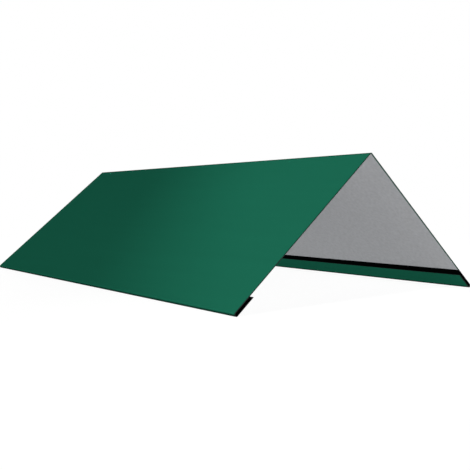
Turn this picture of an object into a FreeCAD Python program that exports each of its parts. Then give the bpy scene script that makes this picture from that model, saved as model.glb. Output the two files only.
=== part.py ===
import FreeCAD, Part
import math
import os

# A flat ridge cap: one strip of coated steel sheet, folded along the ridge, with an open hem turned in at
# each eave. The ridge runs along Y, X goes across it and Z is up. The origin is on the floor that the two
# hem folds stand on, under the middle of the ridge.

# Driving dimensions, in millimetres and degrees
LENGTH = 485.0  # along the ridge
WING_WIDTH = 190.0  # over the painted face, from the sharp ridge line to the outside of the hem fold
RIDGE_ANGLE = 100.0  # between the two wings
SHEET_THICKNESS = 0.5
RIDGE_BEND_RADIUS = 0.5  # on the inside of the sheet
HEM_WIDTH = 21.0  # from the outside of the hem fold to the free edge of the return
HEM_GAP = 2.6  # clear space between a wing and its return

# Sizes that follow from them
HEM_BEND_RADIUS = HEM_GAP / 2
HEM_FOLD_RADIUS = HEM_BEND_RADIUS + SHEET_THICKNESS
RIDGE_TURN = math.radians(180.0 - RIDGE_ANGLE)
RIDGE_SETBACK = (RIDGE_BEND_RADIUS + SHEET_THICKNESS) * math.tan(RIDGE_TURN / 2)
WING_RUN = WING_WIDTH - HEM_FOLD_RADIUS - RIDGE_SETBACK
RETURN_RUN = HEM_WIDTH - HEM_FOLD_RADIUS
WING_PITCH = RIDGE_TURN / 2  # of each wing above level
RIDGE_HEIGHT = (
    HEM_FOLD_RADIUS
    + HEM_FOLD_RADIUS * math.cos(WING_PITCH)
    + (WING_WIDTH - HEM_FOLD_RADIUS) * math.sin(WING_PITCH)
)  # of the sharp ridge line above the floor

HALF_TURN = math.pi
QUARTER_TURN = math.pi / 2


def direction(angle):
    """Returns the unit vector in the section plane at an angle from +X towards +Z."""
    return FreeCAD.Vector(math.cos(angle), 0, math.sin(angle))


class FoldedStrip:
    """Section of a bent sheet, drawn from one free edge to the other with every bend to the right.

    It follows the back face, which is the inside of every bend, and draws the painted face one sheet
    thickness to the left of it. A straight run is a line on both faces, and a bend is two arcs about one
    centre.
    """

    def __init__(self, start, heading):
        self.place = start
        self.heading = heading
        self.back_edges = []
        self.painted_edges = []

    def painted_place(self):
        """Returns the point of the painted face that lies across the sheet from the present place."""
        return self.place + direction(self.heading + QUARTER_TURN) * SHEET_THICKNESS

    def straight(self, run):
        """Goes straight on over a flat run of the sheet."""
        step = direction(self.heading) * run
        painted = self.painted_place()
        self.back_edges.append(Part.makeLine(self.place, self.place + step))
        self.painted_edges.append(Part.makeLine(painted, painted + step))
        self.place = self.place + step

    def bend(self, turn, inside_radius):
        """Bends the sheet to the right through an angle, about a centre on the back face's side."""
        centre = self.place + direction(self.heading - QUARTER_TURN) * inside_radius
        spokes = [direction(self.heading + QUARTER_TURN - turn * share) for share in (0.0, 0.5, 1.0)]
        for edges, radius in (
            (self.back_edges, inside_radius),
            (self.painted_edges, inside_radius + SHEET_THICKNESS),
        ):
            first, middle, last = [centre + spoke * radius for spoke in spokes]
            edges.append(Part.Arc(first, middle, last).toShape())
        self.place = centre + spokes[-1] * inside_radius
        self.heading = self.heading - turn

    def face(self, first_cut, last_cut):
        """Returns the section's face, closed across the sheet at its two free edges."""
        edges = self.back_edges + [last_cut] + self.painted_edges[::-1] + [first_cut]
        return Part.Face(Part.Wire(edges))

    def cut_edge(self):
        """Returns the line across the sheet at the present place."""
        return Part.makeLine(self.place, self.painted_place())


def left_free_edge():
    """Returns where the left return's back face ends, and the heading down the slope from there."""
    up_slope = direction(WING_PITCH)
    inward = direction(WING_PITCH - QUARTER_TURN)
    ridge_line = FreeCAD.Vector(0, 0, RIDGE_HEIGHT)
    fold_centre = ridge_line - up_slope * (WING_WIDTH - HEM_FOLD_RADIUS) + inward * HEM_FOLD_RADIUS
    return fold_centre + inward * HEM_BEND_RADIUS + up_slope * RETURN_RUN, WING_PITCH + HALF_TURN


def ridge_cap():
    """Returns the folded sheet: return, hem, wing, ridge, wing, hem and return, carried along the ridge."""
    strip = FoldedStrip(*left_free_edge())
    left_cut = strip.cut_edge()
    strip.straight(RETURN_RUN)
    strip.bend(HALF_TURN, HEM_BEND_RADIUS)
    strip.straight(WING_RUN)
    strip.bend(RIDGE_TURN, RIDGE_BEND_RADIUS)
    strip.straight(WING_RUN)
    strip.bend(HALF_TURN, HEM_BEND_RADIUS)
    strip.straight(RETURN_RUN)
    section = strip.face(left_cut, strip.cut_edge())
    section.translate(FreeCAD.Vector(0, -LENGTH / 2, 0))
    return section.extrude(FreeCAD.Vector(0, LENGTH, 0))


os.makedirs("parts", exist_ok=True)
ridge_cap().exportStep("parts/ridge_cap.step")
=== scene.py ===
"""Dresses a folded roof ridge cap of coated steel sheet and sets it on a pale studio floor.

The sheet is a strip. Its section is a path of flat runs and bends, with the painted face on one side of
it and the back face on the other, and each face has its own finish. All lengths are in metres, in the
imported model's frame: the ridge runs along Y, X goes across it and Z is up from the floor.
"""

from __future__ import annotations

import logging
import math
from abc import ABC, abstractmethod
from dataclasses import dataclass, field
from enum import IntEnum
from typing import Any, ClassVar, Union

import bpy
import numpy as np
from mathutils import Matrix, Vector

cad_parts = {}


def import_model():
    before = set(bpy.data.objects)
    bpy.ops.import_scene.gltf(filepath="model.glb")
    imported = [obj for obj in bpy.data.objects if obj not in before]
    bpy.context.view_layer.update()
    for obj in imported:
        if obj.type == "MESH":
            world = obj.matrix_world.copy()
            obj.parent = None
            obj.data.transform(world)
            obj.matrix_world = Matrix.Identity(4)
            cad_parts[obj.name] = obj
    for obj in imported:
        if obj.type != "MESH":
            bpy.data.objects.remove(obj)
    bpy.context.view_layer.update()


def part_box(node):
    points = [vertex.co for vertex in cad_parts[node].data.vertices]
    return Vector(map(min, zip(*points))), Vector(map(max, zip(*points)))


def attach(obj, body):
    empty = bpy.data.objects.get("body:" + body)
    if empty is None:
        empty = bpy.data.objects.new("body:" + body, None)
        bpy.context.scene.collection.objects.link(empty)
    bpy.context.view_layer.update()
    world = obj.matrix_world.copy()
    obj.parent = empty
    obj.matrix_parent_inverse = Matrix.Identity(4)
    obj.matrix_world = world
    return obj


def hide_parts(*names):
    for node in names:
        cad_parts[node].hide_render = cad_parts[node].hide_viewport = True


LOG = logging.getLogger("ridge_cap")
MILLIMETRE = 0.001
QUARTER_TURN = math.pi / 2
NOISE_MIDDLE = 0.5
NOISE_DETAIL = 2.0
QUAD_CORNERS = 4

Triple = tuple[float, float, float]
Colour = Triple
Place = Triple
Number = Union[float, "Signal"]
WHITE: Colour = (1.0, 1.0, 1.0)


class Face(IntEnum):
    """The kinds of surface on the sheet, numbered as the piece's material slots."""

    PAINTED = 0
    BACK = 1
    CUT = 2
    # Painted shadow in the hem and on the strip beside its mouth.
    PAINTED_HEM_SHADOW = 3


@dataclass(frozen=True)
class Mark:
    """A soft line of painted shade: whole up to its core distance, then fading evenly until its reach.

    The loss is the share of the coat's brightness that a whole mark takes away.
    """

    core: float
    reach: float
    loss: float


class Signal:
    """A shader socket that takes part in Python arithmetic, with one Math node for each operation."""

    def __init__(self, bench: Bench, socket: bpy.types.NodeSocket) -> None:
        """Wraps a socket of a bench's node tree."""
        self.bench = bench
        self.socket = socket

    def _math(self, operation: str, first: Number, second: Number) -> Signal:
        """Adds a Math node on two values and returns its result."""
        return self.bench.node("ShaderNodeMath", {"operation": operation}, {0: first, 1: second})

    def __add__(self, other: Number) -> Signal:
        """Returns self + other."""
        return self._math("ADD", self, other)

    def __sub__(self, other: Number) -> Signal:
        """Returns self - other."""
        return self._math("SUBTRACT", self, other)

    def __mul__(self, other: Number) -> Signal:
        """Returns self * other."""
        return self._math("MULTIPLY", self, other)

    def __radd__(self, other: float) -> Signal:
        """Returns other + self."""
        return self._math("ADD", other, self)

    def __rsub__(self, other: float) -> Signal:
        """Returns other - self."""
        return self._math("SUBTRACT", other, self)

    def __rmul__(self, other: float) -> Signal:
        """Returns other * self."""
        return self._math("MULTIPLY", other, self)

    def at_most(self, other: Number) -> Signal:
        """Returns the smaller of self and other."""
        return self._math("MINIMUM", self, other)

    def at_least(self, other: Number) -> Signal:
        """Returns the larger of self and other."""
        return self._math("MAXIMUM", self, other)

    def faded(self, mark: Mark) -> Signal:
        """Takes self as the distance from a line and returns a mark's strength there, from 1 to 0."""
        return ((mark.reach - self) * (1.0 / (mark.reach - mark.core))).at_least(0.0).at_most(1.0)


class Bench:
    """The node tree of a material or of the world, emptied and ready for new nodes."""

    def __init__(self, owner: bpy.types.Material | bpy.types.World) -> None:
        """Turns on the owner's nodes and clears them.

        Args:
            owner: the material or world whose node tree is built.
        """
        owner.use_nodes = True
        self.tree = owner.node_tree
        self.tree.nodes.clear()
        is_world = isinstance(owner, bpy.types.World)
        self.output_kind = "ShaderNodeOutputWorld" if is_world else "ShaderNodeOutputMaterial"

    def node(
        self,
        kind: str,
        settings: dict[str, Any] | None = None,
        sockets: dict[str | int, Any] | None = None,
        output: str | int = 0,
    ) -> Signal:
        """Adds one node.

        Args:
            kind: the node's type.
            settings: its properties, which are set before its sockets.
            sockets: a value or a Signal for each input, by name or number.
            output: the output to return, by name or number.

        Returns:
            The chosen output, or the first input of a node that has no outputs.
        """
        made = self.tree.nodes.new(kind)
        for name, value in (settings or {}).items():
            setattr(made, name, value)
        for name, value in (sockets or {}).items():
            if isinstance(value, Signal):
                self.tree.links.new(value.socket, made.inputs[name])
            else:
                made.inputs[name].default_value = value
        return Signal(self, made.outputs[output] if made.outputs else made.inputs[0])

    def vector(self, operation: str, *values: Signal | Triple, output: str = "Vector") -> Signal:
        """Adds a Vector Math node on some vectors and returns one of its outputs."""
        sockets = dict(enumerate(values))
        return self.node("ShaderNodeVectorMath", {"operation": operation}, sockets, output)

    def object_places(self) -> Signal:
        """Returns the object coordinates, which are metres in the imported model's frame."""
        return self.node("ShaderNodeTexCoord", output="Object")

    def grain(self, size: float, stretch: Triple = (1.0, 1.0, 1.0)) -> Signal:
        """Adds noise with spots of a real size.

        Args:
            size: the spacing of the spots, in metres.
            stretch: how much longer the spots are along each axis.

        Returns:
            A value that swings about 0, by up to 0.5 each way.
        """
        scale = tuple(1.0 / (size * longer) for longer in stretch)
        places = self.node("ShaderNodeMapping", {}, {"Vector": self.object_places(), "Scale": scale})
        sockets = {"Vector": places, "Scale": 1.0, "Detail": NOISE_DETAIL}
        return self.node("ShaderNodeTexNoise", {}, sockets) - NOISE_MIDDLE

    def tint(self, colour: Colour, brightness: Signal) -> Signal:
        """Returns a colour multiplied by a brightness that changes over the surface."""
        sockets = {0: colour, "Scale": brightness}
        return self.node("ShaderNodeVectorMath", {"operation": "SCALE"}, sockets)

    def bump(self, height: Signal, depth: float) -> Signal:
        """Returns the normal of a relief, in which a height of 1 is one depth, in metres."""
        return self.node("ShaderNodeBump", {}, {"Height": height, "Distance": depth, "Strength": 1.0})

    def along_lines(self, across: float, up: float, mark: Mark) -> Signal:
        """Paints a line of shade along the ridge and its mirror image on the other side of it.

        Args:
            across: the line's distance from the middle plane.
            up: its height.
            mark: how the mark fades with the distance from the line, measured square to it.

        Returns:
            The factor of painted shade that darkens a coat there.
        """
        sides = self.vector("ABSOLUTE", self.object_places())
        in_section = self.vector("MULTIPLY", sides, (1.0, 0.0, 1.0))
        distance = self.vector("DISTANCE", in_section, (across, 0.0, up), output="Value")
        return 1.0 - mark.loss * distance.faded(mark)

    def along_ends(self, near_end: float, far_end: float, mark: Mark) -> Signal:
        """Returns the factor that darkens a coat with painted shade at the sheet's two ends along Y."""
        along = self.node("ShaderNodeSeparateXYZ", {}, {"Vector": self.object_places()}, output="Y")
        return 1.0 - mark.loss * (along - near_end).at_most(far_end - along).faded(mark)

    def matt(self, colour: Signal, roughness: Number, normal: Signal | None = None) -> None:
        """Makes a coat without sheen the surface.

        Args:
            colour: the coat's colour.
            roughness: its roughness.
            normal: its relief, if it has any.
        """
        sockets = {"Base Color": colour, "Roughness": roughness, "Specular IOR Level": 0.0}
        if normal is not None:
            sockets["Normal"] = normal
        self.surface(self.node("ShaderNodeBsdfPrincipled", {}, sockets))

    def background_rays(self) -> Signal:
        """Finds the rays that show a background: those of the camera, of gloss and of glass.

        Returns:
            1 for such a ray and 0 for any other.
        """
        kinds = ("Is Camera Ray", "Is Glossy Ray", "Is Transmission Ray")
        camera, gloss, glass = (self.node("ShaderNodeLightPath", output=kind) for kind in kinds)
        return camera.at_least(gloss).at_least(glass)

    def surface(self, shader: Signal) -> None:
        """Makes a shader the surface of the material or the world."""
        self.node(self.output_kind, {}, {"Surface": shader})


def opaque(colour: Colour) -> tuple[float, float, float, float]:
    """Returns a colour with full alpha, as a colour socket takes it."""
    return (*colour, 1.0)


@dataclass(frozen=True)
class Finish(ABC):
    """What covers one kind of face. Each finish names its material and adds its own nodes."""

    material_name: ClassVar[str]

    def material(self, cap: RidgeCap) -> bpy.types.Material:
        """Makes the finish's material.

        Args:
            cap: the sheet that it covers, whose edges and folds place its marks.

        Returns:
            The material.
        """
        made = bpy.data.materials.new(self.material_name)
        self.shade(Bench(made), cap)
        return made

    @abstractmethod
    def shade(self, bench: Bench, cap: RidgeCap) -> None:
        """Adds the finish's nodes to its material's bench."""


@dataclass(frozen=True)
class PaintedCoat(Finish):
    """The matt polyester coat on the outside: an even green with faint roller streaks and a fine grain.

    It carries painted shade: thin dark lines along the sheared ends, along the bottoms of the hem folds
    where they stand on the floor, and along the crease of the ridge.
    """

    material_name: ClassVar[str] = "green_polyester_coat"
    colour: Colour = (0.0110, 0.1329, 0.0781)
    roughness: float = 0.55
    roughness_swing: float = 0.2
    streak_size: float = 9 * MILLIMETRE
    streak_stretch: float = 18.0
    streak_swing: float = 0.07
    grain_size: float = 0.8 * MILLIMETRE
    grain_swing: float = 0.05
    grain_depth: float = 0.006 * MILLIMETRE
    # Painted shade: dark lines at the sheared ends, under the hem folds and along the ridge crease.
    painted_edge_shade: Mark = Mark(core=0.3 * MILLIMETRE, reach=0.9 * MILLIMETRE, loss=0.6)
    painted_fold_shade: Mark = Mark(core=2.2 * MILLIMETRE, reach=3.1 * MILLIMETRE, loss=0.75)
    painted_crease_shade: Mark = Mark(core=0.9 * MILLIMETRE, reach=2.4 * MILLIMETRE, loss=0.4)

    def shade(self, bench: Bench, cap: RidgeCap) -> None:
        """Adds the coat's nodes.

        Its brightness is 1 plus the streaks and the grain, times the factor of each line of painted shade.

        Args:
            bench: the material's bench.
            cap: the sheet, whose ends, standing lines and ridge get painted shade.
        """
        streaks = bench.grain(self.streak_size, (1.0, self.streak_stretch, 1.0))
        grain = bench.grain(self.grain_size)
        even = 1.0 + self.streak_swing * streaks + self.grain_swing * grain
        # Lines of painted shade at the ends, under the folds and along the ridge crease.
        sheared = bench.along_ends(cap.near_end, cap.far_end, self.painted_edge_shade)
        fold_shade = bench.along_lines(cap.standing_line, 0.0, self.painted_fold_shade)
        crease_shade = bench.along_lines(0.0, cap.top, self.painted_crease_shade)
        bench.matt(
            colour=bench.tint(self.colour, even * sheared * fold_shade * crease_shade),
            roughness=self.roughness + self.roughness_swing * streaks,
            normal=bench.bump(grain, self.grain_depth),
        )


@dataclass(frozen=True)
class BackCoat(Finish):
    """The thin grey coat on the inside, mottled by the zinc that shows through it.

    At the sheared ends it carries a painted dark green line of edge shade.
    """

    material_name: ClassVar[str] = "grey_back_coat"
    colour: Colour = (0.513, 0.520, 0.537)
    # The dark green of the painted edge shade.
    edge_shade_colour: Colour = (0.009, 0.095, 0.055)
    roughness: float = 0.7
    roughness_swing: float = 0.3
    mottle_size: float = 3.0 * MILLIMETRE
    mottle_swing: float = 0.3
    grain_size: float = 0.9 * MILLIMETRE
    grain_swing: float = 0.16
    grain_depth: float = 0.01 * MILLIMETRE
    painted_edge_shade: Mark = Mark(core=0.8 * MILLIMETRE, reach=1.4 * MILLIMETRE, loss=1.0)

    def shade(self, bench: Bench, cap: RidgeCap) -> None:
        """Adds the coat's nodes.

        Its brightness is 1 plus the mottle and the grain, times the factor of the painted edge shade. A
        painted dark green takes over where that factor falls.

        Args:
            bench: the material's bench.
            cap: the sheet, whose ends get the painted edge shade.
        """
        mottle = bench.grain(self.mottle_size)
        grain = bench.grain(self.grain_size)
        even = 1.0 + self.mottle_swing * mottle + self.grain_swing * grain
        # Painted edge shade along the sheared ends, in dark green.
        sheared = bench.along_ends(cap.near_end, cap.far_end, self.painted_edge_shade)
        grey = bench.tint(self.colour, even * sheared)
        green = bench.tint(self.edge_shade_colour, 1.0 - sheared)
        bench.matt(
            colour=bench.vector("ADD", grey, green),
            roughness=self.roughness + self.roughness_swing * mottle,
            normal=bench.bump(grain, self.grain_depth),
        )


@dataclass(frozen=True)
class CutSteel(Finish):
    """The sheared edge of the sheet: dull steel speckled by the shear, darkened with painted shade."""

    material_name: ClassVar[str] = "cut_steel_edge"
    # Near black, darker than bare steel: the steel's own dull tone plus painted shade.
    colour: Colour = (0.012, 0.013, 0.013)
    roughness: float = 0.6
    roughness_swing: float = 0.3
    speckle_size: float = 0.15 * MILLIMETRE
    speckle_swing: float = 0.8

    def shade(self, bench: Bench, cap: RidgeCap) -> None:
        """Adds the edge's nodes, which are the same for any cap."""
        speckle = bench.grain(self.speckle_size)
        bench.matt(
            colour=bench.tint(self.colour, 1.0 + self.speckle_swing * speckle),
            roughness=self.roughness + self.roughness_swing * speckle,
        )


@dataclass(frozen=True)
class PaintedHemShadow(Finish):
    """Painted shadow, near black, in the hem and on the strip beside its mouth, where shade falls."""

    material_name: ClassVar[str] = "painted_hem_shadow"
    # Near black: painted shadow.
    colour: Colour = (0.0015, 0.0018, 0.0018)
    roughness: float = 0.9
    dust_size: float = 1.2 * MILLIMETRE
    dust_swing: float = 0.6

    def shade(self, bench: Bench, cap: RidgeCap) -> None:
        """Adds the painted shadow's nodes, which are the same for any cap."""
        dust = bench.grain(self.dust_size)
        bench.matt(bench.tint(self.colour, 1.0 + self.dust_swing * dust), self.roughness)


class FoldedStrip:
    """The two faces of a bent sheet, from one free edge to the other, with every bend to the right.

    It follows the back face, which is the inside of every bend. A point of the painted face is one sheet
    thickness to the left of its partner on the back face. A place is a row of (across, up).
    """

    def __init__(self, start: np.ndarray, heading: float, sheet: float) -> None:
        """Starts the strip.

        Args:
            start: the first place on the back face.
            heading: the angle of travel, from +X towards +Z.
            sheet: the sheet's thickness.
        """
        self.place = start
        self.heading = heading
        self.sheet = sheet
        self.back: list[np.ndarray] = []
        self.painted: list[np.ndarray] = []

    @staticmethod
    def direction(angle: np.ndarray | float) -> np.ndarray:
        """Returns unit vectors at angles from +X towards +Z, one row each."""
        return np.stack([np.cos(angle), np.sin(angle)], axis=-1)

    def flat(self, steps: np.ndarray) -> None:
        """Goes straight on, with a pair of points at each distance.

        A back point is the present place plus the distance times the heading's unit vector.

        Args:
            steps: rising distances from the present place, from 0 to the length of the run.
        """
        back = self.place + steps[:, None] * self.direction(self.heading)
        self.back.append(back)
        self.painted.append(back + self.sheet * self.direction(self.heading + QUARTER_TURN))
        self.place = back[-1]

    def bend(self, turn: float, inside_radius: float, parts: int) -> None:
        """Bends to the right on two arcs about one centre.

        A point of an arc is the centre plus the radius times a spoke that turns evenly with the heading.

        Args:
            turn: the angle of the bend.
            inside_radius: the radius of the back face.
            parts: the number of equal steps in the bend.
        """
        centre = self.place + inside_radius * self.direction(self.heading - QUARTER_TURN)
        spokes = self.direction(self.heading + QUARTER_TURN - np.linspace(0.0, turn, parts + 1))
        self.back.append(centre + inside_radius * spokes)
        self.painted.append(centre + (inside_radius + self.sheet) * spokes)
        self.place = self.back[-1][-1]
        self.heading -= turn

    def faces(self) -> tuple[np.ndarray, np.ndarray]:
        """Returns the places of the back face and of the painted face, with each shared end given once."""
        back, painted = (
            np.concatenate([runs[0], *(run[1:] for run in runs[1:])])
            for runs in (self.back, self.painted)
        )
        return back, painted


@dataclass
class RidgeCap:
    """The folded sheet: a ridge bend, two wings and an open hem turned in along each eave.

    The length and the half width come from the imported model. The other sizes repeat those of the part's
    source.
    """

    near_end: float
    far_end: float
    half_width: float
    sheet: float = 0.5 * MILLIMETRE
    ridge_angle: float = math.radians(100.0)
    ridge_bend: float = 0.5 * MILLIMETRE
    hem_width: float = 21.0 * MILLIMETRE
    hem_gap: float = 2.6 * MILLIMETRE
    # How far up the back face from the eave the painted hem shadow reaches.
    painted_shadow_reach: float = 25.5 * MILLIMETRE
    step: float = 10.0 * MILLIMETRE
    seam: float = 0.3 * MILLIMETRE
    ridge_parts: int = 16
    hem_parts: int = 24
    sharp_angle: float = math.radians(30.0)
    node: str = field(default="ridge_cap", init=False)
    slot: str = field(default="green_coated_steel", init=False)

    @classmethod
    def from_frame(cls) -> RidgeCap:
        """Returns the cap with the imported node's length and width."""
        low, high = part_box("ridge_cap")
        return cls(near_end=low.y, far_end=high.y, half_width=(high.x - low.x) / 2)

    @property
    def ridge_turn(self) -> float:
        """The angle of the ridge bend."""
        return math.pi - self.ridge_angle

    @property
    def pitch(self) -> float:
        """The slope of each wing above level."""
        return self.ridge_turn / 2

    @property
    def hem_fold(self) -> float:
        """The outside radius of a hem's fold."""
        return self.hem_gap / 2 + self.sheet

    @property
    def wing(self) -> float:
        """The painted wing's width, from the sharp ridge line to the outside of the hem fold."""
        # The half width is the wing less one fold radius, laid at the pitch, plus the fold's own reach.
        reach = self.hem_fold * (1.0 - math.sin(self.pitch))
        return self.hem_fold + (self.half_width - reach) / math.cos(self.pitch)

    @property
    def ridge_height(self) -> float:
        """The height of the sharp ridge line above the floor."""
        rise = (self.wing - self.hem_fold) * math.sin(self.pitch)
        return self.hem_fold * (1.0 + math.cos(self.pitch)) + rise

    @property
    def top(self) -> float:
        """The height of the rounded ridge, which the bend leaves a little under the sharp ridge line."""
        bend = self.ridge_bend + self.sheet
        return self.ridge_height - bend * (1.0 / math.cos(self.pitch) - 1.0)

    @property
    def standing_line(self) -> float:
        """The distance from the middle to the lowest line of a hem fold, on which the cap stands."""
        return self.half_width - self.hem_fold

    def flat_steps(self, run: float, marks: tuple[float, ...] = ()) -> np.ndarray:
        """Returns where a flat run has points: an even step apart, beside each end, and at the marks."""
        # The narrow seams beside the ends keep the shading of the bends out of the flat.
        even = np.linspace(0.0, run, max(2, round(run / self.step) + 1))
        return np.unique(np.concatenate([even, [self.seam, run - self.seam], marks]))

    def section(self) -> tuple[np.ndarray, np.ndarray, np.ndarray]:
        """Draws the section from the left free edge to the right one.

        The left fold's centre is one wing less one fold radius down the slope from the sharp ridge line,
        and one fold radius in from the painted face. The strip starts at the free edge of the left
        return, half a gap further in and one return up the slope.

        Returns:
            The back face's places, the painted face's places, and for each step between them whether its
            back face takes the painted shadow, inside a hem or on the strip beside its mouth.
        """
        up_slope = FoldedStrip.direction(self.pitch)
        inward = FoldedStrip.direction(self.pitch - QUARTER_TURN)
        ridge = np.array([0.0, self.ridge_height])
        fold_centre = ridge - (self.wing - self.hem_fold) * up_slope + self.hem_fold * inward
        return_run = self.hem_width - self.hem_fold
        wing_run = self.wing - self.hem_fold - (self.ridge_bend + self.sheet) * math.tan(self.pitch)
        painted_shadow_run = self.painted_shadow_reach - self.hem_fold
        start = fold_centre + self.hem_gap / 2 * inward + return_run * up_slope
        strip = FoldedStrip(start, self.pitch + math.pi, self.sheet)
        return_steps = self.flat_steps(return_run)
        left_steps = self.flat_steps(wing_run, (painted_shadow_run,))
        right_steps = self.flat_steps(wing_run, (wing_run - painted_shadow_run,))
        strip.flat(return_steps)
        strip.bend(math.pi, self.hem_gap / 2, self.hem_parts)
        strip.flat(left_steps)
        strip.bend(self.ridge_turn, self.ridge_bend, self.ridge_parts)
        strip.flat(right_steps)
        strip.bend(math.pi, self.hem_gap / 2, self.hem_parts)
        strip.flat(return_steps)
        back, painted = strip.faces()
        # Steps whose back face takes the painted hem shadow, from each free edge.
        painted_shadow_count = len(return_steps) - 1 + self.hem_parts + int(np.searchsorted(left_steps, painted_shadow_run))
        number = np.arange(len(back) - 1)
        dark = (number < painted_shadow_count) | (number >= len(number) - painted_shadow_count)
        return back, painted, dark

    def build(self) -> bpy.types.Object:
        """Carries the section along the ridge and closes it over its cut edges.

        A point's place is its section place at a distance along Y. The two faces are grids of section
        point by distance, and the cut edges join each point of one face to its partner on the other.

        Returns:
            The finished mesh object.
        """
        back, painted, dark = self.section()
        length_parts = round((self.far_end - self.near_end) / self.step)
        along = np.linspace(self.near_end, self.far_end, length_parts + 1)
        points, rows = len(back), len(along)
        places = np.empty((2, points, rows, 3))
        places[..., 0] = np.stack([back, painted])[:, :, None, 0]
        places[..., 1] = along
        places[..., 2] = np.stack([back, painted])[:, :, None, 1]
        inner, outer = np.arange(2 * points * rows).reshape(2, points, rows)
        painted_face = self.quads(outer[:-1, :-1], outer[1:, :-1], outer[1:, 1:], outer[:-1, 1:])
        back_face = self.quads(inner[:-1, :-1], inner[:-1, 1:], inner[1:, 1:], inner[1:, :-1])
        near_edge = self.quads(outer[:-1, 0], inner[:-1, 0], inner[1:, 0], outer[1:, 0])
        far_edge = self.quads(outer[:-1, -1], outer[1:, -1], inner[1:, -1], inner[:-1, -1])
        left_edge = self.quads(outer[0, :-1], outer[0, 1:], inner[0, 1:], inner[0, :-1])
        right_edge = self.quads(outer[-1, :-1], inner[-1, :-1], inner[-1, 1:], outer[-1, 1:])
        cut_edges = np.concatenate([near_edge, far_edge, left_edge, right_edge])
        corners = np.concatenate([painted_face, back_face, cut_edges])
        # Back faces in the hem and beside its mouth take the painted shadow.
        back_kinds = np.where(dark, Face.PAINTED_HEM_SHADOW, Face.BACK)
        kinds = np.concatenate(
            [
                np.full(len(painted_face), Face.PAINTED),
                np.repeat(back_kinds, length_parts),
                np.full(len(cut_edges), Face.CUT),
            ]
        )
        return self.piece(places.reshape(-1, 3), corners, kinds)

    @staticmethod
    def quads(*corners: np.ndarray) -> np.ndarray:
        """Returns one quad a row, from four arrays of corners that go round it as seen from outside."""
        return np.stack(corners, axis=-1).reshape(-1, QUAD_CORNERS)

    def piece(self, places: np.ndarray, corners: np.ndarray, kinds: np.ndarray) -> bpy.types.Object:
        """Makes a mesh object of quads.

        Args:
            places: one vertex a row.
            corners: the four vertices of each face.
            kinds: the material slot of each face.

        Returns:
            The object, smooth over its bends and sharp at its cut edges.
        """
        mesh = bpy.data.meshes.new("folded_sheet")
        mesh.vertices.add(len(places))
        mesh.vertices.foreach_set("co", places.astype(np.float32).ravel())
        mesh.loops.add(corners.size)
        mesh.loops.foreach_set("vertex_index", corners.astype(np.int32).ravel())
        mesh.polygons.add(len(corners))
        starts = np.arange(0, corners.size, QUAD_CORNERS, dtype=np.int32)
        mesh.polygons.foreach_set("loop_start", starts)
        mesh.polygons.foreach_set("material_index", kinds.astype(np.int32))
        mesh.polygons.foreach_set("use_smooth", np.ones(len(corners), bool))
        mesh.update(calc_edges=True)
        mesh.set_sharp_from_angle(angle=self.sharp_angle)
        made = bpy.data.objects.new("folded_sheet", mesh)
        bpy.context.scene.collection.objects.link(made)
        return made

    def dress(self, made: bpy.types.Object) -> None:
        """Gives each kind of face its finish, in the order of Face, hangs the piece on the root body and
        hides the node.

        Args:
            made: the mesh object that build returned.
        """
        for finish in (PaintedCoat(), BackCoat(), CutSteel(), PaintedHemShadow()):
            made.data.materials.append(finish.material(self))
        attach(made, "root")
        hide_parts(self.node)


@dataclass(frozen=True)
class StudioFloor:
    """A pale level floor that shows as white, and keeps a soft part of the object's shadow."""

    half_size: float = 6.0
    colour: Colour = (0.45, 0.45, 0.45)
    open_level: float = 0.2
    shadow_share: float = 0.4
    shadow_reach: float = 1.0

    def build(self) -> bpy.types.Object:
        """Makes the floor, a level square under the object, whose corners are the half size each way.

        Returns:
            The floor's object.
        """
        side = np.array([-1.0, 1.0]) * self.half_size
        across, along = np.meshgrid(side, side, indexing="ij")
        places = np.stack([across, along, np.zeros_like(across)], axis=-1).reshape(-1, 3)
        facing_up = [0, 2, 3, 1]
        mesh = bpy.data.meshes.new("studio_floor")
        mesh.from_pydata(places.tolist(), [], [facing_up])
        made = bpy.data.objects.new("studio_floor", mesh)
        bpy.context.scene.collection.objects.link(made)
        made.data.materials.append(self.material())
        return made

    def material(self) -> bpy.types.Material:
        """Makes the floor's material.

        Light meets a matt pale floor. The rays that show a background see a share of that floor, which
        fades out with the distance from the object, and a glow that makes up the rest of white where the
        floor is open to the lamps: white less the share of the open floor's level.

        Returns:
            The material.
        """
        made = bpy.data.materials.new("pale_floor")
        bench = Bench(made)
        distance = bench.vector("LENGTH", bench.object_places(), output="Value")
        share = self.shadow_share * (1.0 - distance * (1.0 / self.shadow_reach)).at_least(0.0)
        matt = bench.node("ShaderNodeBsdfDiffuse", {}, {"Color": opaque(self.colour)})
        faint = bench.node("ShaderNodeBsdfDiffuse", {}, {"Color": bench.tint(self.colour, share)})
        rest_of_white = bench.tint(WHITE, 1.0 - self.open_level * share)
        glow = bench.node("ShaderNodeEmission", {}, {"Color": rest_of_white, "Strength": 1.0})
        seen = bench.node("ShaderNodeAddShader", {}, {0: faint, 1: glow})
        shown = {0: bench.background_rays(), 1: matt, 2: seen}
        bench.surface(bench.node("ShaderNodeMixShader", {}, shown))
        return made


@dataclass(frozen=True)
class Softbox:
    """A rectangular soft lamp that faces a point."""

    name: str
    place: Place
    aim: Place
    width: float
    height: float
    power: float

    def build(self) -> bpy.types.Object:
        """Makes the lamp, which the camera doesn't see.

        Returns:
            The lamp's object.
        """
        lamp = bpy.data.lights.new(self.name, "AREA")
        lamp.shape = "RECTANGLE"
        lamp.size = self.width
        lamp.size_y = self.height
        lamp.energy = self.power
        return hang(lamp, self.place, self.aim)


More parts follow.
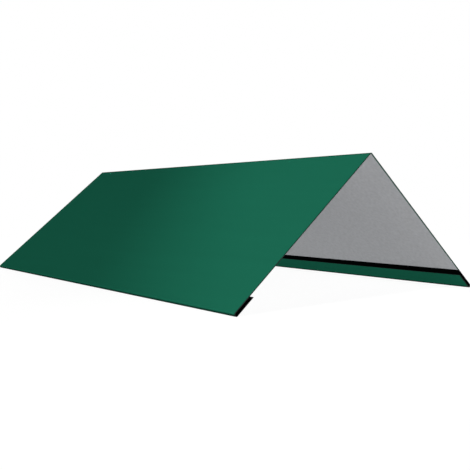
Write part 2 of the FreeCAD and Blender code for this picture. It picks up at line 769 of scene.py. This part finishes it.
@dataclass(frozen=True)
class KeyLamp:
    """A round lamp with a shade, whose soft edge crosses the left wing.

    The edge runs through a point of the wing in a direction along it. The lamp's axis is the line from
    the lamp to that point, turned by the shade's half angle to the bright side, square to the edge.
    """

    name: str
    place: Place
    edge_point: Place
    edge_direction: Place
    half_angle: float
    blend: float
    radius: float
    power: float

    def build(self) -> bpy.types.Object:
        """Makes the lamp, which the camera doesn't see.

        Returns:
            The lamp's object.
        """
        lamp = bpy.data.lights.new(self.name, "SPOT")
        lamp.spot_size = 2 * self.half_angle
        lamp.spot_blend = self.blend
        lamp.shadow_soft_size = self.radius
        lamp.energy = self.power
        to_edge = (Vector(self.edge_point) - Vector(self.place)).normalized()
        to_bright_side = Vector(self.edge_direction).cross(to_edge).normalized()
        axis = math.cos(self.half_angle) * to_edge + math.sin(self.half_angle) * to_bright_side
        return hang(lamp, self.place, tuple(Vector(self.place) + axis))


def hang(lamp: bpy.types.Light, place: Place, aim: Place) -> bpy.types.Object:
    """Puts a lamp in the scene.

    Args:
        lamp: the lamp's data.
        place: where it hangs.
        aim: the point that it faces.

    Returns:
        The lamp's object.
    """
    made = bpy.data.objects.new(lamp.name, lamp)
    made.location = place
    made.rotation_mode = "QUATERNION"
    made.rotation_quaternion = (Vector(aim) - Vector(place)).to_track_quat("-Z", "Y")
    made.visible_camera = False
    bpy.context.scene.collection.objects.link(made)
    return made


@dataclass(frozen=True)
class Studio:
    """The light: an even surround, soft lamps and the floor."""

    surround: float = 0.03
    backdrop: float = 1.0
    floor: StudioFloor = StudioFloor()
    lamps: tuple[Softbox | KeyLamp, ...] = (
        KeyLamp(
            name="key_lamp",
            place=(-1.60, -0.50, 1.90),
            edge_point=(-0.073, -0.042, 0.062),
            edge_direction=(-0.766, -0.630, -0.643),
            half_angle=math.radians(20.0),
            blend=0.05,
            radius=0.095,
            power=92.5,
        ),
        Softbox(
            name="front_left_softbox",
            place=(-1.6, -3.5, 0.14),
            aim=(0.0, -0.1, 0.06),
            width=1.6,
            height=0.24,
            power=190.0,
        ),
        Softbox(
            name="front_right_softbox",
            place=(1.6, -3.5, 0.14),
            aim=(0.0, -0.1, 0.06),
            width=1.6,
            height=0.24,
            power=120.0,
        ),
        Softbox(
            name="far_left_softbox",
            place=(-1.1, 3.4, 0.30),
            aim=(0.0, 0.1, 0.06),
            width=1.6,
            height=0.55,
            power=61.0,
        ),
        Softbox(
            name="far_right_softbox",
            place=(1.1, 3.4, 0.30),
            aim=(0.0, 0.1, 0.06),
            width=1.6,
            height=0.55,
            power=121.0,
        ),
        Softbox(
            name="right_softbox",
            place=(1.1, 1.1, 0.9),
            aim=(0.07, 0.15, 0.06),
            width=0.8,
            height=0.6,
            power=18.0,
        ),
        Softbox(
            name="top_softbox",
            place=(0.2, 0.3, 2.6),
            aim=(0.0, 0.0, 0.0),
            width=2.0,
            height=2.0,
            power=5.0,
        ),
    )

    def build(self) -> None:
        """Makes the surround, the floor and the lamps."""
        world = bpy.data.worlds.new("studio_surround")
        bpy.context.scene.world = world
        bench = Bench(world)
        light, backdrop = (
            bench.node("ShaderNodeBackground", {}, {"Color": opaque(WHITE), "Strength": strength})
            for strength in (self.surround, self.backdrop)
        )
        shown = {0: bench.background_rays(), 1: light, 2: backdrop}
        bench.surface(bench.node("ShaderNodeMixShader", {}, shown))
        LOG.info("stage: %s", self.floor.build().name)
        for lamp in self.lamps:
            LOG.info("lamp: %s", lamp.build().name)


@dataclass(frozen=True)
class PhotoCamera:
    """The camera of the photograph, placed from the sharp ridge corner at the near end.

    Its lens is the focal length in pixels of the square picture, as a length on the sensor.
    """

    from_corner: Place = (-0.44970, -0.39338, -0.04204)
    heading: float = math.radians(37.814)
    tilt: float = math.radians(2.653)
    focal_pixels: float = 698.6
    picture_pixels: float = 470.0
    sensor: float = 36.0

    def build(self, cap: RidgeCap) -> bpy.types.Object:
        """Makes this the scene's camera.

        Args:
            cap: the sheet whose near ridge corner the camera is placed from.

        Returns:
            The camera's object.
        """
        data = bpy.data.cameras.new("photo_camera")
        data.sensor_width = self.sensor
        data.lens = self.focal_pixels / self.picture_pixels * self.sensor
        made = bpy.data.objects.new("photo_camera", data)
        made.location = Vector((0.0, cap.near_end, cap.ridge_height)) + Vector(self.from_corner)
        made.rotation_euler = (QUARTER_TURN - self.tilt, 0.0, -self.heading)
        bpy.context.scene.collection.objects.link(made)
        bpy.context.scene.camera = made
        return made


def main() -> None:
    """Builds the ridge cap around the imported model, the studio and the camera."""
    logging.basicConfig(level=logging.INFO, format="%(name)s %(message)s")
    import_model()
    bpy.context.scene.view_settings.view_transform = "Standard"
    cap = RidgeCap.from_frame()
    sheet = cap.build()
    cap.dress(sheet)
    LOG.info("piece: %s, %d faces, for %s", sheet.name, len(sheet.data.polygons), cap.node)
    Studio().build()
    LOG.info("camera: %s", PhotoCamera().build(cap).name)


if __name__ == "__main__":
    main()
